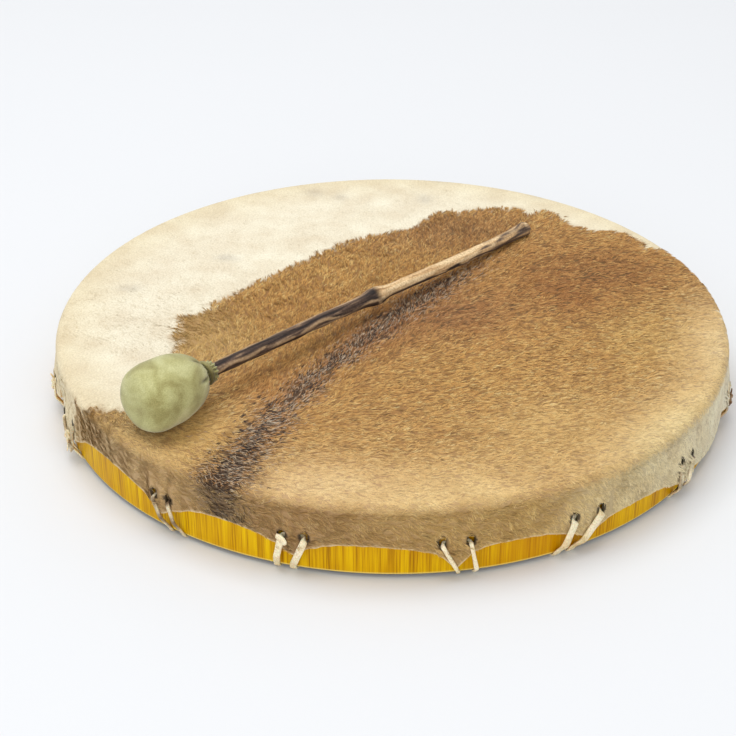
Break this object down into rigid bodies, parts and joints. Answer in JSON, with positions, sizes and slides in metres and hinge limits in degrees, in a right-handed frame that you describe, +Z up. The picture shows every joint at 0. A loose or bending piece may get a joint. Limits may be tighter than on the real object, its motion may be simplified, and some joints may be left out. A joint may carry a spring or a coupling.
{
  "type": "ritual frame drum",
  "caption": "Shallow round frame drum: bent wooden hoop, hair-on rawhide head laced over its side, open back with a grip ring, and a padded stick beater resting on the head.",
  "frame": {"origin": "middle of the drum, on the surface that it lies on", "axes": "+Z up through the head, the drum's shortest extent; -Y towards the pictured front"},
  "size_m": [0.507, 0.5071, 0.1072],
  "materials": {
    "varnished_hoop": "yellow-ochre varnished bent wood, satin, with fine upright grain",
    "hair_on_rawhide": "rawhide with short brown hair on most of it and bare ivory skin on the rest",
    "rawhide_lace": "translucent cream rawhide strip, dried hard, slightly twisted",
    "steel_ring": "plain dull steel",
    "green_suede": "sage green suede, matt, with darker rubbed patches",
    "suede_tie": "narrow suede thong, matt",
    "branch": "branch with dark bark on half of it, the rest peeled to pale wood"
  },
  "bodies": {
    "root": {"hoop": "varnished_hoop", "skin": "hair_on_rawhide", "lace_01": "rawhide_lace", "lace_02": "rawhide_lace", "lace_03": "rawhide_lace", "lace_04": "rawhide_lace", "lace_05": "rawhide_lace", "lace_06": "rawhide_lace", "lace_07": "rawhide_lace", "lace_08": "rawhide_lace", "lace_09": "rawhide_lace", "lace_10": "rawhide_lace", "lace_11": "rawhide_lace", "lace_12": "rawhide_lace", "lace_13": "rawhide_lace", "lace_14": "rawhide_lace", "lace_15": "rawhide_lace", "lace_16": "rawhide_lace", "grip_ring": "steel_ring", "beater_pad": "green_suede", "beater_tie": "suede_tie", "beater_stick": "branch"}
  },
  "joints": []
}
